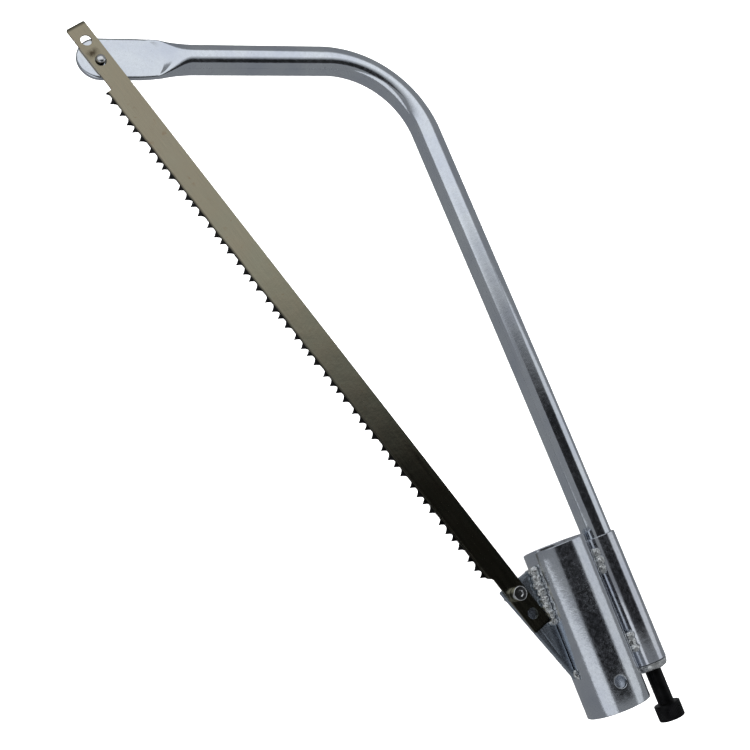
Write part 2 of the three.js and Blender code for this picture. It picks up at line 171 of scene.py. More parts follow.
def lathe(name, profile, place, seg=96, smooth_angle=32.0, radius_of=None):
    """Turns a closed profile of (radius, y) about local Y. place maps local points to working ones.
    Points on the axis become one vertex each."""
    verts, rings = [], []
    for r, y in profile:
        if r < 1e-6:
            rings.append([len(verts)])
            verts.append((0.0, y, 0.0))
        else:
            ring = []
            for k in range(seg):
                a = 2 * math.pi * k / seg
                rr = radius_of(a, r, y) if radius_of else r
                ring.append(len(verts))
                verts.append((rr * math.sin(a), y, rr * math.cos(a)))
            rings.append(ring)
    faces = []
    on_axis = any(len(r) == 1 for r in rings)
    pairs = list(zip(rings[:-1], rings[1:]))
    if not on_axis:
        pairs.append((rings[-1], rings[0]))
    for a, b in pairs:
        if len(a) == 1 and len(b) == 1:
            continue
        for k in range(seg):
            k1 = (k + 1) % seg
            if len(a) == 1:
                faces.append((a[0], b[k1], b[k]))
            elif len(b) == 1:
                faces.append((a[k], a[k1], b[0]))
            else:
                faces.append((a[k], a[k1], b[k1], b[k]))
    return make(name, place(np.array(verts)), faces, smooth_angle)


def rounded(profile, radii, steps=4):
    """Rounds the corners of a closed (radius, y) polygon: radii gives one radius per corner."""
    out = []
    n = len(profile)
    for i, (p, rad) in enumerate(zip(profile, radii)):
        p = np.array(p, float)
        if rad <= 0:
            out.append(tuple(p))
            continue
        a = np.array(profile[i - 1], float) - p
        b = np.array(profile[(i + 1) % n], float) - p
        la, lb = np.linalg.norm(a), np.linalg.norm(b)
        a, b = a / la, b / lb
        half = math.acos(max(-1, min(1, float(a @ b)))) / 2
        t = min(rad / math.tan(half), 0.45 * la, 0.45 * lb)
        r = t * math.tan(half)
        bis = (a + b) / np.linalg.norm(a + b)
        c = p + bis * (r / math.sin(half))
        p0, p1 = p + a * t, p + b * t
        a0 = math.atan2(*(p0 - c)[::-1])
        a1 = math.atan2(*(p1 - c)[::-1])
        d = (a1 - a0 + math.pi) % (2 * math.pi) - math.pi
        for k in range(steps + 1):
            q = a0 + d * k / steps
            out.append((c[0] + r * math.cos(q), c[1] + r * math.sin(q)))
    return out


def about_socket(p):
    return p


def about_sleeve(p):
    q = p.copy()
    c, s = math.cos(-math.atan(SLEEVE_TILT)), math.sin(-math.atan(SLEEVE_TILT))
    x = p[:, 0] * c - p[:, 1] * s + sleeve_x(0)
    y = p[:, 0] * s + p[:, 1] * c
    q[:, 0], q[:, 1] = x, y
    return q


def upright(x, y):
    """local Y becomes working Z, at working (x, y)."""

    def f(p):
        return np.stack([p[:, 0] + x, -p[:, 2] + y, p[:, 1]], 1)

    return f


# ------------------------------------------------------------------ materials
def hexes(*v):
    return tuple(v) + (1.0,)


class Nodes:
    """Small helper that builds one node material."""

    def __init__(self, name):
        self.mat = bpy.data.materials.new(name)
        self.mat.use_nodes = True
        self.t = self.mat.node_tree
        self.t.nodes.clear()
        self.out = self.t.nodes.new("ShaderNodeOutputMaterial")

    def n(self, kind, **kw):
        node = self.t.nodes.new(kind)
        for k, v in kw.items():
            if k.startswith("_"):
                node.inputs[int(k[1:])].default_value = v
            elif k in ("inputs",):
                for key, val in v.items():
                    if isinstance(val, bpy.types.NodeSocket):
                        self.t.links.new(val, node.inputs[key])
                    else:
                        node.inputs[key].default_value = val
            else:
                setattr(node, k, v)
        return node

    def link(self, a, b):
        self.t.links.new(a, b)

    def coords(self, scale=(1, 1, 1), offset=(0, 0, 0), rot=(0, 0, 0)):
        tc = self.n("ShaderNodeTexCoord")
        mp = self.n("ShaderNodeMapping")
        mp.inputs["Scale"].default_value = scale
        mp.inputs["Location"].default_value = offset
        mp.inputs["Rotation"].default_value = rot
        self.link(tc.outputs["Object"], mp.inputs["Vector"])
        return mp.outputs["Vector"]

    def noise(self, vec, scale, detail=3.0, rough=0.5, distortion=0.0):
        node = self.n("ShaderNodeTexNoise")
        self.link(vec, node.inputs["Vector"])
        node.inputs["Scale"].default_value = scale
        node.inputs["Detail"].default_value = detail
        node.inputs["Roughness"].default_value = rough
        node.inputs["Distortion"].default_value = distortion
        return node.outputs["Fac"]

    def ramp(self, fac, stops):
        node = self.n("ShaderNodeValToRGB")
        cr = node.color_ramp
        while len(cr.elements) > 1:
            cr.elements.remove(cr.elements[-1])
        cr.elements[0].position = stops[0][0]
        cr.elements[0].color = stops[0][1]
        for pos, col in stops[1:]:
            e = cr.elements.new(pos)
            e.color = col
        self.link(fac, node.inputs["Fac"])
        return node.outputs["Color"]

    def remap(self, fac, a, b, c, d, clamp=True):
        node = self.n("ShaderNodeMapRange")
        node.clamp = clamp
        self.link(fac, node.inputs["Value"])
        for k, v in zip(("From Min", "From Max", "To Min", "To Max"), (a, b, c, d)):
            node.inputs[k].default_value = v
        return node.outputs["Result"]

    def math(self, op, a, b=None, c=None):
        node = self.n("ShaderNodeMath")
        node.operation = op
        for i, v in enumerate((a, b, c)):
            if v is None:
                continue
            if isinstance(v, bpy.types.NodeSocket):
                self.link(v, node.inputs[i])
            else:
                node.inputs[i].default_value = v
        return node.outputs[0]

    def mix(self, fac, a, b, kind="MIX"):
        node = self.n("ShaderNodeMix")
        node.data_type = "RGBA"
        node.blend_type = kind
        for sock, v in ((node.inputs[0], fac), (node.inputs[6], a), (node.inputs[7], b)):
            if isinstance(v, bpy.types.NodeSocket):
                self.link(v, sock)
            else:
                sock.default_value = v
        return node.outputs[2]

    def bump(self, height, strength, distance, normal=None):
        node = self.n("ShaderNodeBump")
        node.inputs["Strength"].default_value = strength
        node.inputs["Distance"].default_value = distance
        self.link(height, node.inputs["Height"])
        if normal is not None:
            self.link(normal, node.inputs["Normal"])
        return node.outputs["Normal"]

    def metal(self, color, rough, normal=None, metallic=1.0, aniso=None, coat=None):
        node = self.n("ShaderNodeBsdfPrincipled")
        for key, v in (("Base Color", color), ("Roughness", rough), ("Metallic", metallic)):
            if isinstance(v, bpy.types.NodeSocket):
                self.link(v, node.inputs[key])
            else:
                node.inputs[key].default_value = v
        if normal is not None:
            self.link(normal, node.inputs["Normal"])
        if coat:
            node.inputs["Coat Weight"].default_value = coat[0]
            node.inputs["Coat Roughness"].default_value = coat[1]
        return node

    def done(self, bsdf):
        self.link(bsdf.outputs[0], self.out.inputs["Surface"])
        return self.mat


def zinc_material(name, tint=(0.70, 0.735, 0.77), rough=(0.05, 0.16), along=(1, 0.06, 1), wave=0.03,
                  soft=0.05, seed=0.0, grain=1.0, dark_pits=0.5, frosting=0.12):
    """Bright zinc plate over drawn steel: long drawing marks, cloudy plating, small pits and rubs."""
    m = Nodes(name)
    stretched = m.coords(scale=along, offset=(seed, seed * 0.7, seed * 1.3))
    plain = m.coords(offset=(seed * 2.1, seed, seed * 0.4))
    lines = m.noise(stretched, 1100.0, 4.0, 0.6)
    cloud = m.noise(plain, 55.0, 4.0, 0.55)
    fine = m.noise(plain, 1700.0, 3.0, 0.6)
    mottle = m.noise(plain, 520.0, 5.0, 0.70)
    base = m.ramp(cloud, [
        (0.30, hexes(tint[0] * 0.88, tint[1] * 0.885, tint[2] * 0.93)),
        (0.55, hexes(*tint)),
        (0.75, hexes(min(1, tint[0] * 1.07), min(1, tint[1] * 1.07), min(1, tint[2] * 1.05))),
    ])
    pits = m.remap(mottle, 0.28, 0.36, 0.0, 1.0)
    base = m.mix(m.math("MULTIPLY", m.math("SUBTRACT", 1.0, pits), dark_pits), base, hexes(0.14, 0.145, 0.17))
    r = m.remap(mottle, 0.3, 0.72, rough[0], rough[1])
    r = m.math("ADD", r, m.remap(lines, 0.4, 0.7, 0.0, 0.05))
    h = m.math("ADD", m.math("MULTIPLY", lines, 0.5), m.math("MULTIPLY", fine, 0.35))
    nrm = m.bump(h, 0.14 * grain, 0.00004)
    nrm = m.bump(mottle, 0.25 * grain, 0.00007, nrm)
    nrm = m.bump(cloud, wave * 6, 0.0005, nrm)
    sharp = m.metal(base, r, nrm)
    haze = m.metal(m.mix(0.5, base, hexes(0.72, 0.73, 0.84)), 0.5, nrm)
    mixn = m.n("ShaderNodeMixShader")
    # thin white passivate, in clouds
    speck = m.noise(plain, 1000.0, 4.0, 0.7)
    frost = m.math("ADD", m.remap(mottle, 0.42, 0.66, soft, soft + frosting), m.remap(speck, 0.50, 0.68, 0.0, frosting * 0.6))
    m.link(m.math("MULTIPLY", frost, m.remap(cloud, 0.35, 0.60, 0.45, 1.15)), mixn.inputs[0])
    m.link(sharp.outputs[0], mixn.inputs[1])
    m.link(haze.outputs[0], mixn.inputs[2])
    m.link(mixn.outputs[0], m.out.inputs["Surface"])
    return m.mat


def blade_material(name):
    """Rolled, tempered strip: olive oxide film, rolling lines along the blade, dark hardened teeth."""
    m = Nodes(name)
    tc = m.n("ShaderNodeTexCoord")

    def dot(axis, offset):
        d = m.n("ShaderNodeVectorMath")
        d.operation = "DOT_PRODUCT"
        m.link(tc.outputs["Object"], d.inputs[0])
        d.inputs[1].default_value = axis
        return m.math("ADD", d.outputs["Value"], offset)

    o = world([[BLADE_O[0], BLADE_O[1], 0]])[0]
    ds = (BLADE_D[0], BLADE_D[1], 0.0)
    dv = (BLADE_V_AXIS[0], BLADE_V_AXIS[1], 0.0)
    s = dot(ds, -float(np.dot(o, ds)))
    v = dot(dv, -float(np.dot(o, dv)))
    comb = m.n("ShaderNodeCombineXYZ")
    m.link(m.math("MULTIPLY", s, 0.035), comb.inputs[0])
    m.link(v, comb.inputs[1])
    lines = m.noise(comb.outputs[0], 2600.0, 4.0, 0.65)
    broad = m.noise(comb.outputs[0], 420.0, 3.0, 0.55)
    plain = m.coords()
    cloud = m.noise(plain, 60.0, 5.0, 0.6)
    spots = m.noise(plain, 340.0, 4.0, 0.6, 0.6)
    tone = m.ramp(m.remap(s, -0.01, 0.27, 0.0, 1.0), [
        (0.0, hexes(0.375, 0.330, 0.235)),
        (0.25, hexes(0.345, 0.310, 0.225)),
        (0.55, hexes(0.30, 0.285, 0.205)),
        (1.0, hexes(0.28, 0.275, 0.205)),
    ])
    tone = m.mix(m.remap(cloud, 0.35, 0.7, 0.0, 0.55), tone, hexes(0.34, 0.28, 0.195))
    tone = m.mix(m.remap(lines, 0.35, 0.65, 0.0, 0.28), tone, hexes(0.24, 0.235, 0.18))
    tone = m.mix(m.remap(spots, 0.62, 0.74, 0.0, 0.45), tone, hexes(0.26, 0.16, 0.08))
    # rust-brown rub between the two upper holes, beside the pin
    rub = m.math("MULTIPLY",
                 m.remap(m.math("ABSOLUTE", m.math("SUBTRACT", s, 0.0068)), 0.0005, 0.0026, 1.0, 0.0),
                 m.remap(m.math("ABSOLUTE", m.math("SUBTRACT", v, 0.0016)), 0.0012, 0.0042, 1.0, 0.0))
    rub = m.math("MULTIPLY", rub, m.remap(spots, 0.36, 0.56, 0.3, 1.0))
    tone = m.mix(m.math("MULTIPLY", rub, 0.85), tone, hexes(0.060, 0.042, 0.022))
    # painted shade: the blade darkened over about a millimetre at each end
    painted_end_shade = m.math("MAXIMUM", m.remap(s, -0.0081, -0.0070, 1.0, 0.0), m.remap(s, 0.3478, 0.3494, 0.0, 1.0))
    tone = m.mix(m.math("MULTIPLY", painted_end_shade, 0.9), tone, hexes(0.05, 0.048, 0.036))
    # hardened teeth
    wob = m.math("MULTIPLY", m.math("SUBTRACT", cloud, 0.5), 0.0016)
    hard = m.remap(m.math("ADD", v, wob), 0.0066, 0.0078, 0.0, 1.0)
    tone = m.mix(hard, tone, hexes(0.018, 0.018, 0.018))
    rough = m.math("ADD", m.remap(broad, 0.3, 0.7, 0.09, 0.17), m.remap(lines, 0.35, 0.7, 0.0, 0.07))
    rough = m.math("ADD", rough, m.math("MULTIPLY", rub, 0.25))
    rough = m.math("ADD", rough, m.math("MULTIPLY", hard, 0.22))
    nrm = m.bump(lines, 0.25, 0.00003)
    nrm = m.bump(broad, 0.25, 0.0001, nrm)
    nrm = m.bump(cloud, 0.35, 0.0004, nrm)
    return m.done(m.metal(tone, rough, nrm))


def black_material(name):
    """Black oxide on a cap screw, with a trace of oil and rubbed edges."""
    m = Nodes(name)
    plain = m.coords()
    grain = m.noise(plain, 1800.0, 4.0, 0.6)
    cloud = m.noise(plain, 260.0, 4.0, 0.6)
    geo = m.n("ShaderNodeNewGeometry")
    wear = m.remap(m.math("MULTIPLY", geo.outputs["Pointiness"], m.remap(cloud, 0.3, 0.7, 0.98, 1.02)), 0.545, 0.60, 0.0, 1.0)
    col = m.ramp(cloud, [(0.3, hexes(0.0035, 0.0035, 0.0038)), (0.7, hexes(0.009, 0.009, 0.010))])
    col = m.mix(m.math("MULTIPLY", wear, 0.35), col, hexes(0.10, 0.10, 0.105))
    rough = m.remap(grain, 0.3, 0.7, 0.28, 0.46)
    nrm = m.bump(grain, 0.3, 0.00004)
    b = m.metal(col, rough, nrm, metallic=0.75)
    b.inputs["Specular IOR Level"].default_value = 0.25
    return m.done(b)


def weld_material(name):
    """Weld bead plated over: bright ripples, painted shade darkening the hollows."""
    m = Nodes(name)
    plain = m.coords()
    lumps = m.noise(plain, 1100.0, 4.0, 0.65, 0.3)
    cloud = m.noise(plain, 600.0, 4.0, 0.6)
    geo = m.n("ShaderNodeNewGeometry")
    hollow = m.remap(geo.outputs["Pointiness"], 0.36, 0.47, 0.0, 1.0)
    col = m.ramp(cloud, [(0.3, hexes(0.62, 0.64, 0.64)), (0.62, hexes(0.90, 0.91, 0.90))])
    # painted shade: the bead darkened where its surface is hollow
    painted_hollow_shade = m.math("MULTIPLY", m.math("SUBTRACT", 1.0, hollow), m.remap(lumps, 0.35, 0.6, 0.4, 1.0))
    specks = m.remap(lumps, 0.30, 0.40, 0.6, 0.0)
    col = m.mix(specks, col, hexes(0.14, 0.14, 0.15))
    col = m.mix(m.math("MULTIPLY", painted_hollow_shade, 0.45), col, hexes(0.10, 0.10, 0.11))
    rough = m.remap(lumps, 0.3, 0.7, 0.20, 0.42)
    nrm = m.bump(lumps, 0.30, 0.00010)
    return m.done(m.metal(col, rough, nrm))


def fastener_material(name):
    """Small bright-plated turned parts: fine turning rings and handling marks."""
    m = Nodes(name)
    plain = m.coords()
    fine = m.noise(plain, 2600.0, 4.0, 0.6)
    cloud = m.noise(plain, 420.0, 4.0, 0.6)
    col = m.ramp(cloud, [(0.3, hexes(0.66, 0.67, 0.68)), (0.7, hexes(0.90, 0.90, 0.90))])
    rough = m.remap(fine, 0.3, 0.7, 0.08, 0.18)
    nrm = m.bump(fine, 0.3, 0.00004)
    return m.done(m.metal(col, rough, nrm))


MAT = {
    "socket": zinc_material("zinc_socket", tint=(0.74, 0.775, 0.82), rough=(0.035, 0.12), along=(1, 0.10, 1), seed=0.13, soft=0.010, grain=2.6, frosting=0.24, dark_pits=0.6),
    "sleeve": zinc_material("zinc_sleeve", tint=(0.74, 0.765, 0.81), rough=(0.035, 0.11), along=(1, 0.10, 1), seed=0.41, soft=0.010, grain=2.4, frosting=0.20, dark_pits=0.6),
    "tube": zinc_material("zinc_bow_tube", tint=(0.80, 0.84, 0.89), rough=(0.035, 0.10), along=(1, 0.30, 1), seed=0.77, soft=0.008, dark_pits=0.35, frosting=0.10, grain=1.5),
    "plate": zinc_material("zinc_plate", tint=(0.42, 0.48, 0.54), rough=(0.16, 0.28), along=(0.3, 1, 1), seed=0.29, soft=0.16, dark_pits=0.12, frosting=0.08, grain=0.5),
    "plug": zinc_material("zinc_plug", tint=(0.62, 0.65, 0.68), rough=(0.16, 0.30), along=(1, 1, 1), seed=0.55, soft=0.1),
    "blade": blade_material("blade_steel"),
    "black": black_material("black_oxide"),
    "weld": weld_material("weld_metal"),
    "fastener": fastener_material("bright_fastener"),
}


def finish_piece(ob, body, nodes, mat):
    ob.data.materials.clear()
    ob.data.materials.append(MAT[mat])
    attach(ob, body)
    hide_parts(*nodes)
    return ob


# ------------------------------------------------------------------ pole socket
def socket_piece():
    n = 160
    th0 = math.radians(FIX_HOLE_TURN)  # angle from +Z towards +X
    half = 9  # segments each side of the hole
    step = 2 * math.pi / n
    thetas = [th0 + (k - half) * step for k in range(n)]
    y_lo, y_hi = FIX_HOLE_Y - 6.4, FIX_HOLE_Y + 6.4
    rows_hole = 2 * half  # square patch: same count down its sides
    ys = [-SOCKET_LEN + 0.45] + list(np.linspace(y_lo, y_hi, rows_hole + 1)) + list(np.linspace(y_hi, -0.45, 14))[1:]
    verts, faces = [], []

    def put(radius, theta, y):
        verts.append((radius * math.sin(theta), y, radius * math.cos(theta)))
        return len(verts) - 1

    hole_rings = {}
    grids = {}
    for key, radius in (("out", SOCKET_R), ("in", SOCKET_BORE_R)):
        grid = [[None] * n for _ in ys]
        for j, y in enumerate(ys):
            for k in range(n):
                inside = 1 <= j - 1 < rows_hole and 0 < k < 2 * half
                if not inside:
                    grid[j][k] = put(radius, thetas[k], y)
        grids[key] = grid
        for j in range(len(ys) - 1):
            for k in range(n):
                if 1 <= j < 1 + rows_hole and 0 <= k < 2 * half:
                    continue
                k1 = (k + 1) % n
                faces.append((grid[j][k], grid[j][k1], grid[j + 1][k1], grid[j + 1][k]))
        # patch: boundary loop of the square, then rings down to the hole
        loop = [(1, k) for k in range(0, 2 * half)]
        loop += [(1 + j, 2 * half) for j in range(0, rows_hole)]
        loop += [(1 + rows_hole, k) for k in range(2 * half, 0, -1)]
        loop += [(1 + j, 0) for j in range(rows_hole, 0, -1)]
        prev = [grid[j][k] for j, k in loop]
        bound = []
        for j, k in loop:
            bound.append((thetas[k], ys[j]))
        edge = 0.35 if key == "out" else 0.0
        rings = 6
        for i in range(1, rings + 1):
            f = i / rings
            ring = []
            for (tb, yb), _ in zip(bound, prev):
                u, v = SOCKET_R * math.sin(tb - th0), yb - FIX_HOLE_Y
                phi = math.atan2(v, u)
                rho = FIX_HOLE_R + edge
                th = th0 + math.asin(rho * math.cos(phi) / radius)
                y = FIX_HOLE_Y + rho * math.sin(phi)
                ring.append(put(radius, tb + (th - tb) * f, yb + (y - yb) * f))
            for q in range(len(prev)):
                q1 = (q + 1) % len(prev)
                faces.append((prev[q], prev[q1], ring[q1], ring[q]))
            prev = ring
        if key == "out":  # rolled-over lip of the drilled hole
            for rho, drop in ((FIX_HOLE_R + 0.16, 0.05), (FIX_HOLE_R + 0.04, 0.16), (FIX_HOLE_R, 0.34)):
                ring = []
                for tb, yb in bound:
                    u, v = SOCKET_R * math.sin(tb - th0), yb - FIX_HOLE_Y
                    phi = math.atan2(v, u)
                    rr = radius - drop
                    th = th0 + math.asin(rho * math.cos(phi) / rr)
                    ring.append(put(rr, th, FIX_HOLE_Y + rho * math.sin(phi)))
                for q in range(len(prev)):
                    q1 = (q + 1) % len(prev)
                    faces.append((prev[q], prev[q1], ring[q1], ring[q]))
                prev = ring
        hole_rings[key] = prev
    a, b = hole_rings["out"], hole_rings["in"]
    for q in range(len(a)):
        q1 = (q + 1) % len(a)
        faces.append((a[q], a[q1], b[q1], b[q]))
    # rounded rims
    for j, y_end, sign in ((0, -SOCKET_LEN, -1), (len(ys) - 1, 0.0, 1)):
        profile = []
        for i in range(1, 5):
            a_ = math.pi / 2 * i / 4
            profile.append((SOCKET_R - 0.45 + 0.45 * math.cos(a_), y_end - sign * 0.45 + sign * 0.45 * math.sin(a_)))
        for i in range(0, 4):
            a_ = math.pi / 2 * (1 - i / 4)
            profile.append((SOCKET_BORE_R + 0.45 - 0.45 * math.cos(a_), y_end - sign * 0.45 + sign * 0.45 * math.sin(a_)))
        prev = grids["out"][j]
        for r, y in profile:
            ring = [put(r, thetas[k], y) for k in range(n)]
            for k in range(n):
                k1 = (k + 1) % n
                faces.append((prev[k], prev[k1], ring[k1], ring[k]))
            prev = ring
        last = grids["in"][j]
        for k in range(n):
            k1 = (k + 1) % n
            faces.append((prev[k], prev[k1], last[k1], last[k]))
    return make("pole_socket_fine", np.array(verts), faces, 34)


finish_piece(socket_piece(), "socket_body", ["pole_socket"], "socket")

# ------------------------------------------------------------------ guide sleeve and its end
sleeve = lathe("guide_sleeve_fine",
               rounded([(SLEEVE_BORE_R, SLEEVE_END), (SLEEVE_R, SLEEVE_END), (SLEEVE_R, SLEEVE_TOP), (SLEEVE_BORE_R, SLEEVE_TOP)],
                       [0.1, 0.2, 0.32, 0.2]),
               about_sleeve, 128)
finish_piece(sleeve, "socket_body", ["guide_sleeve"], "sleeve")

nut = lathe("sleeve_nut_fine",
            rounded([(SCREW_R + 0.3, SLEEVE_END), (7.3, SLEEVE_END), (7.3, SLEEVE_END + 10), (SCREW_R + 0.3, SLEEVE_END + 10)],
                    [0.25, 0.5, 0.5, 0.25]),
            about_sleeve, 96)
finish_piece(nut, "socket_body", ["sleeve_nut"], "plug")

# ------------------------------------------------------------------ bow tube
head0 = math.pi / 2 + math.atan(-LEG_TOP_SLOPE)
bend_c = (LEG_TOP[0] - BEND_R * math.sin(head0), LEG_TOP[1] + BEND_R * math.cos(head0))
arm_head = head0 + BEND_TURN
arm_start = (bend_c[0] + BEND_R * math.sin(arm_head), bend_c[1] - BEND_R * math.cos(arm_head))
arm_dir = np.array([math.cos(arm_head), math.sin(arm_head)])
nose = np.array(arm_start) + ARM_LEN * arm_dir


FLARE_S = (0, 20.5, 28.9, 32.9, 35.9, 38.4, 40.9, 43.9, 46.9, 49.9, 52.5, 55, 200)
FLARE_W = (10.7, 10.7, 10.7, 10.5, 10.2, 9.8, 9.3, 8.7, 8.15, 7.7, 7.42, 7.3, 7.3)
FACE_S = (0, 30, 36, 38, 39.5, 41, 42.5, 44.2, 45.6, 47, 49.6, 52, 54.5, 200)
FACE_A = (8.9, 8.9, 8.7, 8.4, 7.9, 6.9, 5.4, 3.8, 2.7, 1.9, 0.8, 0.25, 0.0, 0.0)


def pressed_height(u, s):
    """Height of the pressed face: flat, then rising from a curved die edge to the round tube."""
    start = 40.6 - 0.055 * (u - 1.6) ** 2
    t = np.clip((s - start) / (53.5 - start), 0, 1)
    m0 = 1.15
    return FLAT_T + (TUBE_R - FLAT_T) * (m0 * (t ** 3 - 2 * t * t + t) + 3 * t * t - 2 * t ** 3)


def section_outline(s, w_override=None, count=96):
    """Points (u, z) round the section at distance s from the nose: a flat face of half-width a that runs out
    into the round tube, with elliptical sides."""
    w = float(np.interp(s, FLARE_S, FLARE_W))
    a = float(np.interp(s, FACE_S, FACE_A))
    if w_override is not None:
        w = w_override
        a = max(0.0, w - 1.8)
    a = min(a, w - 0.3)
    q = np.linspace(0, math.pi / 2, 161)
    side_u, side_f = a + (w - a) * np.cos(q), np.sin(q)
    u = np.concatenate([-side_u, np.linspace(-a, a, 161)[1:-1], side_u[::-1]])
    f = np.concatenate([side_f, np.ones(159), side_f[::-1]])
    z = f * pressed_height(u, s)
    full = np.concatenate([np.stack([u, z], 1), np.stack([u[::-1], -z[::-1]], 1)[1:-1]])
    closed = np.vstack([full, full[:1]])
    seg = np.linalg.norm(np.diff(closed, axis=0), axis=1)
    cum = np.concatenate([[0], np.cumsum(seg)])
    t = np.linspace(0, cum[-1], count, endpoint=False)
    return np.stack([np.interp(t, cum, closed[:, 0]), np.interp(t, cum, closed[:, 1])], 1)


def bow_tube_piece():
    seg = 96
    sections = []  # (centre, heading, points, inner points or None)

    def circle(rw, rt):
        a = np.linspace(0, 2 * math.pi, seg, endpoint=False)
        # starts at u = -w and runs over the top, as section_outline does
        return np.stack([-rw * np.cos(a), rt * np.sin(a)], 1)

    for y in np.linspace(BAR_END, SLEEVE_TOP, 6)[:-1]:
        sections.append(((sleeve_x(y), y), math.pi / 2 + math.atan(-SLEEVE_TILT), circle(TUBE_R, TUBE_R), circle(TUBE_R - TUBE_WALL, TUBE_R - TUBE_WALL)))
    x0, y0 = sleeve_x(SLEEVE_TOP), SLEEVE_TOP
    L = LEG_TOP[1] - y0
    steps = 40
    for i in range(steps):
        t = i / steps
        h00, h10 = 2 * t ** 3 - 3 * t ** 2 + 1, t ** 3 - 2 * t ** 2 + t
        h01, h11 = -2 * t ** 3 + 3 * t ** 2, t ** 3 - t ** 2
        x = h00 * x0 + h10 * L * SLEEVE_TILT + h01 * LEG_TOP[0] + h11 * L * LEG_TOP_SLOPE
        dx = (6 * t * t - 6 * t) * (x0 - LEG_TOP[0]) / L + (3 * t * t - 4 * t + 1) * SLEEVE_TILT + (3 * t * t - 2 * t) * LEG_TOP_SLOPE
        sections.append(((x, y0 + t * L), math.pi / 2 + math.atan(-dx), circle(TUBE_R, TUBE_R), circle(TUBE_R - TUBE_WALL, TUBE_R - TUBE_WALL)))
    steps = 56
    for i in range(steps + 1):
        f = i / steps
        a = head0 + BEND_TURN * f
        sq = math.sin(math.pi * f)
        rw, rt = TUBE_R * (1 - BEND_OVAL * sq), TUBE_R * (1 + 0.4 * BEND_OVAL * sq)
        sections.append(((bend_c[0] + BEND_R * math.sin(a), bend_c[1] - BEND_R * math.cos(a)), a, circle(rw, rt), circle(rw - TUBE_WALL, rt - TUBE_WALL)))
    far = list(np.linspace(ARM_LEN - 4, 60, 14))
    near = list(np.arange(59.0, 31.0, -0.4)) + list(np.arange(31.0, FLAT_W, -1.5)) + [FLAT_W]
    for s in far + near:
        c = nose - s * arm_dir
        inner = None
        if s >= 46:
            o = section_outline(s, count=seg)
            w_in = TUBE_R - TUBE_WALL
            t_in = max(0.6, float(o[:, 1].max()) - TUBE_WALL)
            inner = circle(min(w_in, float(o[:, 0].max()) - TUBE_WALL), t_in)
        sections.append((tuple(c), arm_head, section_outline(s, count=seg), inner))
    # rounded nose
    for q in np.linspace(0, 1, 15)[1:]:
        s = FLAT_W * (1 - math.sin(q * math.pi / 2 * 0.985))
        w = math.sqrt(max(0.0, FLAT_W ** 2 - (FLAT_W - s) ** 2))
        t = FLAT_T * min(1.0, (w / 2.2) ** 0.5) if w < 2.2 else FLAT_T
        pts = section_outline(20.0, w_override=max(w, 0.35), count=seg)
        pts[:, 1] *= t / FLAT_T
        sections.append((tuple(nose - s * arm_dir), arm_head, pts, None))
    verts, faces = [], []

    def ring(c, head, pts):
        side = np.array([-math.sin(head), math.cos(head)])
        base = len(verts)
        for u, z in pts:
            verts.append((c[0] + side[0] * u, c[1] + side[1] * u, z))
        return [base + k for k in range(seg)]

    outer = [ring(c, h, p) for c, h, p, _ in sections]
    inner = [ring(c, h, i) for c, h, _, i in sections if i is not None]
    for rings in (outer, inner):
        for a, b in zip(rings[:-1], rings[1:]):
            for k in range(seg):
                k1 = (k + 1) % seg
                faces.append((a[k], a[k1], b[k1], b[k]))
    a, b = outer[0], inner[0]
    for k in range(seg):
        faces.append((a[k], a[(k + 1) % seg], b[(k + 1) % seg], b[k]))
    for last in (outer[-1], inner[-1]):
        c = np.mean([verts[i] for i in last], axis=0)
        verts.append(tuple(c))
        for k in range(seg):
            faces.append((last[k], last[(k + 1) % seg], len(verts) - 1))
    ob = make("bow_tube_fine", np.array(verts), faces, 50)
    return ob


pin_xy = blade_xy(*HOLES[1]) - PIN_OFFSET * BLADE_D
bow = bow_tube_piece()
drill = lathe("drill", [(0, -8), (PIN_R + 0.75, -8), (PIN_R + 0.75, 8), (0, 8)], upright(*pin_xy), 64)
cut(bow, drill, 50)
finish_piece(bow, "bow_frame", ["bow_tube"], "tube")

plug = lathe("thrust_plug_fine",
             [(0, SCREW_TIP + 0.3)] + rounded([(0, SCREW_TIP + 0.3), (7.0, SCREW_TIP + 0.3), (7.0, BAR_END - 0.3), (5.5, BAR_END - 0.3),
                                               (5.5, BAR_END + 10), (0, BAR_END + 10)], [0, 0.6, 0.1, 0.1, 0.9, 0])[1:-1] + [(0, BAR_END + 10)],
             about_sleeve, 72)
finish_piece(plug, "bow_frame", ["thrust_plug"], "plug")

# ------------------------------------------------------------------ blade pin
z1 = BLADE_Z0 + BLADE_T + PIN_TOP
pin_profile = [(0, -3.1), (1.6, -3.08), (2.7, -2.9), (3.4, -2.45), (3.75, -FLAT_T - 0.22), (3.7, -FLAT_T - 0.1), (PIN_R, -FLAT_T - 0.1),
               (PIN_R, z1 - 1.15), (PIN_R - 0.05, z1 - 0.95), (PIN_R - 0.18, z1 - 0.74), (PIN_R - 0.42, z1 - 0.52), (1.35, z1 - 0.30), (0.9, z1 - 0.13), (0.45, z1 - 0.035), (0, z1)]
pin = lathe("blade_pin_fine", pin_profile, upright(*pin_xy), 64, 40)
finish_piece(pin, "bow_frame", ["blade_pin"], "fastener")


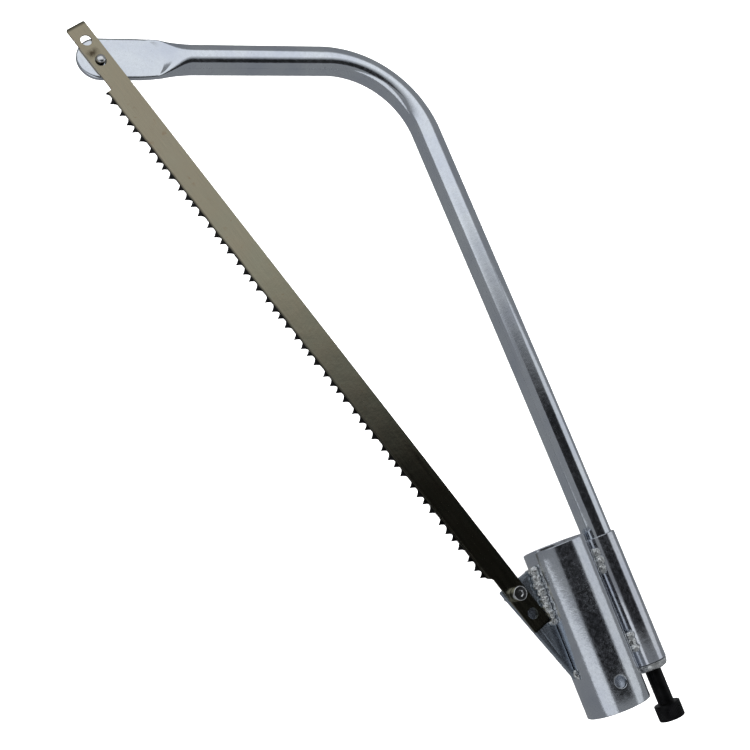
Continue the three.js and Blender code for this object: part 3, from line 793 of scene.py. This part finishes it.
# ------------------------------------------------------------------ blade
def blade_piece():
    tips = [GROUP_START - GROUP_PITCH + GROUP_TIPS[3]]
    for k in range(12):
        tips += [GROUP_START + GROUP_PITCH * k + t for t in GROUP_TIPS]
    tips += [GROUP_START + GROUP_PITCH * 12 + t for t in GROUP_TIPS[:3]]
    depth, reach = TIP_V - GULLET_V, 2.35

    def g(x):
        return depth * (1 - (1 - min(x, reach) / reach) ** 1.7)

    base_v = 6.7
    line = []  # (s, v, tooth index or -1) from the upper end to the lower end along the toothed side
    c = 0.9
    first = tips[0] - 5.2
    line += [(first - 3.0, BLADE_V, -1), (first - 0.9, BLADE_V, -1), (first - 0.35, BLADE_V + 0.25, -1), (first - 0.1, BLADE_V + 0.8, -1)]
    line += [(first, TIP_V - 1.9, 0), (first + 0.35, TIP_V - 1.75, 0), (first + 0.8, TIP_V - 2.3, 0), (first + 1.5, GULLET_V + 0.2, 0), (first + 2.4, GULLET_V, -1)]
    flank = [2.3, 2.05, 1.8, 1.5, 1.2, 0.9, 0.6, 0.3, 0.12]
    for i, t in enumerate(tips):
        left = (t - tips[i - 1]) if i else (t - first - 0.1)
        right = (tips[i + 1] - t) if i + 1 < len(tips) else 8.0
        for x in flank:
            if x < left / 2 - 0.02:
                line.append((t - x, TIP_V - g(x), i))
        line.append((t, TIP_V, i))
        for x in reversed(flank):
            if x < right / 2 - 0.02:
                line.append((t + x, TIP_V - g(x), i))
        if i + 1 < len(tips):
            mid = t + right / 2
            line.append((mid, TIP_V - g(right / 2), -1))
    t = tips[-1]
    line += [(t + 2.9, GULLET_V - 0.35, -1), (t + 3.5, BLADE_V + 1.3, -1), (t + 4.2, BLADE_V + 0.4, -1), (t + 5.2, BLADE_V, -1)]
    line = [p for i, p in enumerate(line) if i == 0 or p[0] > line[i - 1][0] + 1e-4]

    def side(face):
        """2-D points of one face: +1 front, -1 back. Teeth are ground from alternate faces."""
        out = []
        for s, v, i in line:
            if i >= 0 and v > GULLET_V + 0.05:
                lean = 1 if i % 2 == 0 else -1
                if lean == face:
                    t0 = tips[i] if (i > 0 or s > tips[0] - 2.6) else first
                    f = (v - GULLET_V) / depth
                    s2 = s + (t0 - s) * 0.34 * (1 if abs(s - t0) > 1e-6 else 0)
                    v2 = v - 0.55 * f
                    out.append((s2, max(v2, GULLET_V)))
                    continue
            out.append((s, v))
        return out

    def set_z(s, v, i):
        if i < 0 or v <= GULLET_V:
            return 0.0
        lean = 1 if i % 2 == 0 else -1
        return lean * 0.32 * ((v - GULLET_V) / depth) ** 1.2

    verts, faces = [], []
    ring_edges = {}
    hole_pts = []
    for hs, hv in HOLES:
        hole_pts.append([(hs + HOLE_R * math.cos(2 * math.pi * k / 48), hv + HOLE_R * math.sin(2 * math.pi * k / 48)) for k in range(48)])
    end_a = [(BLADE_S0 + c * (1 - math.sin(a)), -BLADE_V + c * (1 - math.cos(a))) for a in np.linspace(0, math.pi / 2, 6)]
    rect = []
    # body outline, anticlockwise in (s, v): back edge, lower end, base line of the teeth, upper end
    corner = lambda cs, cv, a0, a1: [(cs + c * math.cos(a), cv + c * math.sin(a)) for a in np.linspace(a0, a1, 6)]
    back = corner(BLADE_S0 + c, -BLADE_V + c, -math.pi, -math.pi / 2) + corner(BLADE_S1 - c, -BLADE_V + c, -math.pi / 2, 0)
    low = corner(BLADE_S1 - c, BLADE_V - c, 0, math.pi / 2)
    high = corner(BLADE_S0 + c, BLADE_V - c, math.pi / 2, math.pi)
    outline_fixed = (back + low, high)
    for face, z in ((1, BLADE_Z0 + BLADE_T), (-1, BLADE_Z0)):
        pts = side(face)
        tooth = [(s, v, i) for (s, v), (_, _, i) in zip(pts, line)]
        # where the toothed line is above base_v, a base line splits teeth from body
        idx_up = [q for q, (s, v, i) in enumerate(tooth) if v > base_v]
        q0, q1 = idx_up[0], idx_up[-1]
        base_line = [(s, base_v) for s in np.linspace(tooth[q0][0], tooth[q1][0], 150)]
        body = list(outline_fixed[0]) + [(s, v) for s, v, i in reversed(tooth[q1 + 1:])] + base_line[::-1] + \
            [(s, v) for s, v, i in reversed(tooth[:q0])] + list(outline_fixed[1])
        strip = base_line + [(s, v) for s, v, i in reversed(tooth[q0:q1 + 1])]
        loops = [body] + [h[::-1] for h in hole_pts]
        index = []

        def add(p, i=-1):
            x, y = blade_xy(*p)
            verts.append((x, y, z + set_z(p[0], p[1], i)))
            return len(verts) - 1

        strip_i = [-1] * len(base_line) + [i for s, v, i in reversed(tooth[q0:q1 + 1])]
        body_ids = []
        flat = []
        for lp in loops:
            for p in lp:
                body_ids.append(add(p))
        tri = tessellate_polygon([[Vector((p[0], p[1], 0)) for p in lp] for lp in loops])
        for a, b, d in tri:
            faces.append((body_ids[a], body_ids[b], body_ids[d]) if face > 0 else (body_ids[a], body_ids[d], body_ids[b]))
        strip_ids = [add(p, i) for p, i in zip(strip, strip_i)]
        tri = tessellate_polygon([[Vector((p[0], p[1], 0)) for p in strip]])
        for a, b, d in tri:
            faces.append((strip_ids[a], strip_ids[b], strip_ids[d]) if face > 0 else (strip_ids[a], strip_ids[d], strip_ids[b]))
        # boundary loops for the walls
        nb = len(outline_fixed[0])
        n_low = len(tooth[q1 + 1:])
        n_base = len(base_line)
        wall = body_ids[:nb + n_low]
        wall += strip_ids[n_base:]
        wall += body_ids[nb + n_low + n_base:len(body)]
        holes = []
        k = len(body)
        for h in hole_pts:
            holes.append(body_ids[k:k + len(h)])
            k += len(h)
        ring_edges[face] = (wall, holes)
    (wf, hf), (wb, hb) = ring_edges[1], ring_edges[-1]
    for a, b in [(wf, wb)] + list(zip(hf, hb)):
        n = len(a)
        for k in range(n):
            k1 = (k + 1) % n
            faces.append((a[k], a[k1], b[k1], b[k]))
    return verts, faces


bv, bf = blade_piece()
blade = make("saw_blade_fine", np.array(bv), bf, 25)
finish_piece(blade, "socket_body", ["saw_blade"], "blade")

# ------------------------------------------------------------------ gusset plate
screw_xy = blade_xy(*HOLES[2])


def gusset_piece():
    r = 0.8
    pts = []
    tri = [np.array(p, float) for p in GUSSET]
    for i, p in enumerate(tri):
        a = tri[i - 1] - p
        b = tri[(i + 1) % 3] - p
        a, b = a / np.linalg.norm(a), b / np.linalg.norm(b)
        half = math.acos(float(a @ b)) / 2
        rad = r if i == 1 else 0.25
        c = p + (a + b) / np.linalg.norm(a + b) * rad / math.sin(half)
        p0 = p + a * rad / math.tan(half)
        p1 = p + b * rad / math.tan(half)
        a0, a1 = math.atan2(*(p0 - c)[::-1]), math.atan2(*(p1 - c)[::-1])
        d = (a1 - a0 + math.pi) % (2 * math.pi) - math.pi
        for k in range(7):
            q = a0 + d * k / 6
            pts.append((c[0] + rad * math.cos(q), c[1] + rad * math.sin(q)))
    area = sum(pts[i - 1][0] * pts[i][1] - pts[i][0] * pts[i - 1][1] for i in range(len(pts)))
    if area < 0:
        pts = pts[::-1]
    hole = [(screw_xy[0] + (M4_R + 0.25) * math.cos(2 * math.pi * k / 40), screw_xy[1] + (M4_R + 0.25) * math.sin(2 * math.pi * k / 40)) for k in range(40)]
    verts, faces = [], []
    ids = {}
    for z in (PLATE_FRONT, PLATE_BACK):
        base = len(verts)
        for p in pts + hole[::-1]:
            verts.append((p[0], p[1], z))
        ids[z] = base
        for a, b, d in tessellate_polygon([[Vector((p[0], p[1], 0)) for p in pts], [Vector((p[0], p[1], 0)) for p in hole[::-1]]]):
            faces.append((base + a, base + b, base + d) if z > 0 else (base + a, base + d, base + b))
    f, b = ids[PLATE_FRONT], ids[PLATE_BACK]
    for start, n in ((0, len(pts)), (len(pts), len(hole))):
        for k in range(n):
            k1 = (k + 1) % n
            faces.append((f + start + k, f + start + k1, b + start + k1, b + start + k))
    return make("gusset_plate_fine", np.array(verts), faces, 30, bevel=(0.22, 2, 50))


finish_piece(gusset_piece(), "socket_body", ["gusset_plate"], "plate")

# ------------------------------------------------------------------ blade screw and nut
z0 = BLADE_Z0 + BLADE_T + 0.25
z2 = z0 + M4_HEAD_H
end = PLATE_BACK - 0.25 - M4_NUT_H - 1.2
screw_profile = [(0, end), (M4_R - 0.4, end), (M4_R, end + 0.45), (M4_R, z0)] + rounded(
    [(M4_R, z0), (M4_HEAD_R, z0), (M4_HEAD_R, z2), (0, z2)], [0, 0.12, 0.42, 0], 5)[1:-1] + [(0, z2)]
bscrew = lathe("blade_screw_fine", screw_profile, upright(*screw_xy), 72, 34)
key = lathe("key", [(0, z2 - 2.1), (1.5 / math.cos(math.pi / 6), z2 - 1.75), (1.5 / math.cos(math.pi / 6), z2 + 1), (0, z2 + 1)], upright(*screw_xy), 6, 20)
cut(bscrew, key, 34)
finish_piece(bscrew, "socket_body", ["blade_screw"], "fastener")


def hex_nut(name, x, y, z_top, height, af, bore, turn):
    seg = 96
    zs = []
    verts, faces = [], []

    def rhex(a):
        q = (a - turn) % (math.pi / 3) - math.pi / 6
        return (af / 2) / math.cos(q)

    def ring(radius, z):
        base = len(verts)
        for k in range(seg):
            a = 2 * math.pi * k / seg
            r = radius(a) if callable(radius) else radius
            zz = z(a) if callable(z) else z
            verts.append((x + r * math.cos(a), y + r * math.sin(a), zz))
        return [base + k for k in range(seg)]

    flat = af / 2 * 0.96
    rings = [ring(bore + 0.35, z_top), ring(flat, z_top),
             ring(rhex, lambda a: z_top - (rhex(a) - flat) * 0.55),
             ring(rhex, lambda a: z_top - height + (rhex(a) - flat) * 0.55),
             ring(flat, z_top - height), ring(bore + 0.35, z_top - height),
             ring(bore, z_top - height + 0.35), ring(bore, z_top - 0.35)]
    for a, b in zip(rings, rings[1:] + rings[:1]):
        for k in range(seg):
            k1 = (k + 1) % seg
            faces.append((a[k], a[k1], b[k1], b[k]))
    return make(name, np.array(verts), faces, 22)


bnut = hex_nut("blade_nut_fine", screw_xy[0], screw_xy[1], PLATE_BACK - 0.25, M4_NUT_H, 7.0, M4_R + 0.15, 0.3)
finish_piece(bnut, "socket_body", ["blade_nut"], "fastener")

# ------------------------------------------------------------------ tension screw
y1 = SCREW_HEAD_Y0 - SCREW_HEAD_H


def knurl(a, r, y):
    if r > SCREW_HEAD_R - 0.3 and y1 + 1.2 < y < SCREW_HEAD_Y0 - 1.0:
        return r - 0.16 * (0.5 + 0.5 * math.cos(48 * a))
    return r


head = [(0, y1), (4.6, y1), (5.6, y1 + 0.02), (6.1, y1 + 0.18), (6.4, y1 + 0.5), (SCREW_HEAD_R, y1 + 1.0)]
head += [(SCREW_HEAD_R, y1 + q) for q in (1.3, 2.0, 3.0, 4.0, 5.0, 6.0, 6.9)]
head += [(SCREW_HEAD_R, SCREW_HEAD_Y0 - 0.9), (SCREW_HEAD_R, SCREW_HEAD_Y0 - 0.35), (SCREW_HEAD_R - 0.1, SCREW_HEAD_Y0 - 0.1), (SCREW_HEAD_R - 0.35, SCREW_HEAD_Y0)]
head += [(SCREW_R + 0.5, SCREW_HEAD_Y0), (SCREW_R + 0.12, SCREW_HEAD_Y0 + 0.15), (SCREW_R, SCREW_HEAD_Y0 + 0.55)]
head += [(SCREW_R, -69.0)]
# thread, hidden in the sleeve: rings stand in for the helix
yy = -68.4
while yy < SCREW_TIP - 1.6:
    head += [(SCREW_R, yy), (SCREW_R - 0.62, yy + 0.52), (SCREW_R - 0.62, yy + 0.68), (SCREW_R, yy + 1.2)]
    yy += 1.25
head += [(SCREW_R - 0.05, SCREW_TIP - 0.9), (SCREW_R - 0.9, SCREW_TIP), (0, SCREW_TIP)]
tscrew = lathe("tension_screw_fine", head, about_sleeve, 192, 34, radius_of=knurl)
hexc = 3 / math.cos(math.pi / 6)
key = lathe("key", [(0, y1 - 1), (hexc, y1 - 1), (hexc, y1 + 4.2), (0, y1 + 5.0)], about_sleeve, 6, 20)
cut(tscrew, key, 34)
finish_piece(tscrew, "screw_body", ["tension_screw"], "black")


# ------------------------------------------------------------------ welds
def lumpy(name, node, voxel, amount, size, seed, smooth=6, stretch=None):
    """The node's weld grown into one rippled lump, clamped to the node's own box, which is widened a little where
    the lump is stretched.
    """
    src = frame["nodes"][node]
    me = src.data.copy()
    ob = bpy.data.objects.new(name, me)
    bpy.context.scene.collection.objects.link(ob)
    bm = bmesh.new()
    bm.from_mesh(me)
    bmesh.ops.remove_doubles(bm, verts=bm.verts, dist=1e-6)
    bm.to_mesh(me)
    bm.free()
    m = ob.modifiers.new("remesh", "REMESH")
    m.mode = "VOXEL"
    m.voxel_size = voxel / 1000
    m.adaptivity = 0
    bake(ob)
    me = ob.data
    bm = bmesh.new()
    bm.from_mesh(me)
    for _ in range(smooth):
        bmesh.ops.smooth_vert(bm, verts=bm.verts, factor=0.5, use_axis_x=True, use_axis_y=True, use_axis_z=True)
    bm.normal_update()
    lo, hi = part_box(node)
    if stretch:
        for v in bm.verts:
            y = (v.co.y - ORIGIN[1]) * 1000
            if y < stretch[0]:
                v.co.y = ORIGIN[1] + (stretch[0] + (y - stretch[0]) * stretch[1]) / 1000
        lo = Vector((lo.x - 0.0004, lo.y - 0.0022, lo.z - 0.0004))
        hi = Vector((hi.x + 0.0004, hi.y, hi.z + 0.0004))
        bm.normal_update()
    from mathutils import noise

    for v in bm.verts:
        p = v.co * (1000.0 / size) + Vector((seed, seed * 1.7, seed * 0.3))
        n = noise.noise(p) + 0.5 * noise.noise(p * 2.3)
        v.co += v.normal * (n * amount / 1000)
    for v in bm.verts:
        v.co = Vector([min(max(v.co[i], lo[i]), hi[i]) for i in range(3)])
    bm.to_mesh(me)
    bm.free()
    sharpen(ob, 80)
    return ob


for i, node in enumerate(("sleeve_tack_front_upper", "sleeve_tack_front_lower", "sleeve_tack_back_upper", "sleeve_tack_back_lower",
                          "gusset_weld_front", "gusset_weld_back", "gusset_tip_weld", "sleeve_end_weld")):
    if node == "sleeve_end_weld":
        w = lumpy(node + "_fine", node, 0.24, 0.42, 3.2, 3.1 + 2.7 * i, 5, (-69.9, 1.9))
    else:
        w = lumpy(node + "_fine", node, 0.20, 0.30, 1.2, 3.1 + 2.7 * i, 12)
    finish_piece(w, "socket_body", [node], "weld")

# ------------------------------------------------------------------ studio
scene = bpy.context.scene


def softbox(name, x0, x1, y0, y1, level, edge=0.04, z=459):
    """A plain level panel overhead (mm, part frame), evenly lit and fading out over its edge; level 0 is a flag."""
    me = bpy.data.meshes.new(name)
    c = world([[x0, y0, z], [x1, y0, z], [x1, y1, z], [x0, y1, z]])
    me.from_pydata([tuple(p) for p in c], [], [(0, 3, 2, 1)])
    ob = bpy.data.objects.new(name, me)
    scene.collection.objects.link(ob)
    m = Nodes(name + "_light")
    tc = m.n("ShaderNodeTexCoord")
    sep = m.n("ShaderNodeSeparateXYZ")
    m.link(tc.outputs["Object"], sep.inputs[0])
    lo, hi = c[0], c[2]
    fade = None
    for k in (0, 1):
        a = m.remap(sep.outputs[k], float(lo[k]), float(lo[k]) + edge, 0.0, 1.0)
        b = m.remap(sep.outputs[k], float(hi[k]) - edge, float(hi[k]), 1.0, 0.0)
        ab = m.math("MULTIPLY", a, b)
        fade = ab if fade is None else m.math("MULTIPLY", fade, ab)
    em = m.n("ShaderNodeEmission")
    em.inputs["Color"].default_value = hexes(0.97, 1.0, 1.04)
    em.inputs["Strength"].default_value = level
    clear = m.n("ShaderNodeBsdfTransparent")
    mix = m.n("ShaderNodeMixShader")
    m.link(fade, mix.inputs[0])
    m.link(clear.outputs[0], mix.inputs[1])
    m.link(em.outputs[0], mix.inputs[2])
    m.link(mix.outputs[0], m.out.inputs["Surface"])
    me.materials.append(m.mat)
    ob.visible_camera = False
    return ob


softbox("softbox_back", -900, 420, 150, 900, 0.80, 0.14)
softbox("softbox_left", -3500, -320, -1000, -80, 0.74, 0.06)
softbox("softbox_right", 370, 3500, -500, 250, 0.64, 0.05)
softbox("flag", -320, 360, -220, 155, 0.012, 0.07)

# floor: one large pale sheet under the saw
fm = Nodes("floor_paper")
fb = fm.n("ShaderNodeBsdfPrincipled")
fb.inputs["Base Color"].default_value = hexes(0.90, 0.90, 0.90)
fb.inputs["Roughness"].default_value = 0.9
fb.inputs["Specular IOR Level"].default_value = 0.1
fb.inputs["Emission Color"].default_value = hexes(1, 1, 1)
fb.inputs["Emission Strength"].default_value = 0.62
fm.done(fb)
me = bpy.data.meshes.new("floor")
me.from_pydata([(-4, -4, -0.0003), (4, -4, -0.0003), (4, 4, -0.0003), (-4, 4, -0.0003)], [], [(0, 1, 2, 3)])
floor = bpy.data.objects.new("floor", me)
me.materials.append(fm.mat)
scene.collection.objects.link(floor)
floor.visible_glossy = False

# world: white for the camera, an even grey room for everything else
w = bpy.data.worlds.new("studio")
scene.world = w
w.use_nodes = True
nt = w.node_tree
nt.nodes.clear()
out = nt.nodes.new("ShaderNodeOutputWorld")
bg_cam = nt.nodes.new("ShaderNodeBackground")
bg_cam.inputs[0].default_value = hexes(1, 1, 1)
bg_cam.inputs[1].default_value = 1.0
bg_env = nt.nodes.new("ShaderNodeBackground")
bg_env.inputs[0].default_value = hexes(0.21, 0.218, 0.227)
bg_env.inputs[1].default_value = 1.0
lp = nt.nodes.new("ShaderNodeLightPath")
mixs = nt.nodes.new("ShaderNodeMixShader")
nt.links.new(lp.outputs["Is Camera Ray"], mixs.inputs[0])
nt.links.new(bg_env.outputs[0], mixs.inputs[1])
nt.links.new(bg_cam.outputs[0], mixs.inputs[2])
nt.links.new(mixs.outputs[0], out.inputs[0])


def area(name, loc, target, size, power, glossy=False, color=(1, 1, 1)):
    l = bpy.data.lights.new(name, "AREA")
    l.shape = "DISK"
    l.size = size
    l.energy = power
    l.color = color
    ob = bpy.data.objects.new(name, l)
    ob.location = loc
    ob.rotation_mode = "QUATERNION"
    ob.rotation_quaternion = (Vector(loc) - Vector(target)).to_track_quat("Z", "Y")
    scene.collection.objects.link(ob)
    ob.visible_glossy = glossy
    ob.visible_camera = False
    return ob


area("fill_right", (0.9, 0.1, 0.42), (0.0, 0.0, 0.0), 0.7, 14.0)
area("fill_left", (-0.9, -0.1, 0.42), (0.0, 0.0, 0.0), 0.7, 10.0)
area("fill_front", (0.0, -0.9, 0.42), (0.0, 0.0, 0.0), 0.7, 10.0)
area("fill_back", (0.0, 0.9, 0.42), (0.0, 0.0, 0.0), 0.7, 10.0)

scene.view_settings.view_transform = "Standard"
scene.view_settings.look = "None"
scene.view_settings.exposure = 0.0
scene.view_settings.gamma = 1.0

# ------------------------------------------------------------------ camera
cam_data = bpy.data.cameras.new("camera")
cam = bpy.data.objects.new("camera", cam_data)
scene.collection.objects.link(cam)
cam_data.sensor_width = 36.0
cam_data.lens = 62.4
cam_data.clip_start = 0.01
cam_data.clip_end = 50
right = Vector((0.8631340, -0.3613209, 0.3527704))
up = Vector((0.2822464, 0.9244718, 0.2562985))
back = Vector((-0.4187323, -0.1216518, 0.8999245))
rot = Matrix((right, up, back)).transposed()
cam.rotation_mode = "QUATERNION"
cam.rotation_quaternion = rot.to_quaternion()
cam.location = Vector(ORIGIN) + Vector((-0.315621, 0.030699, 0.557953))
scene.camera = cam
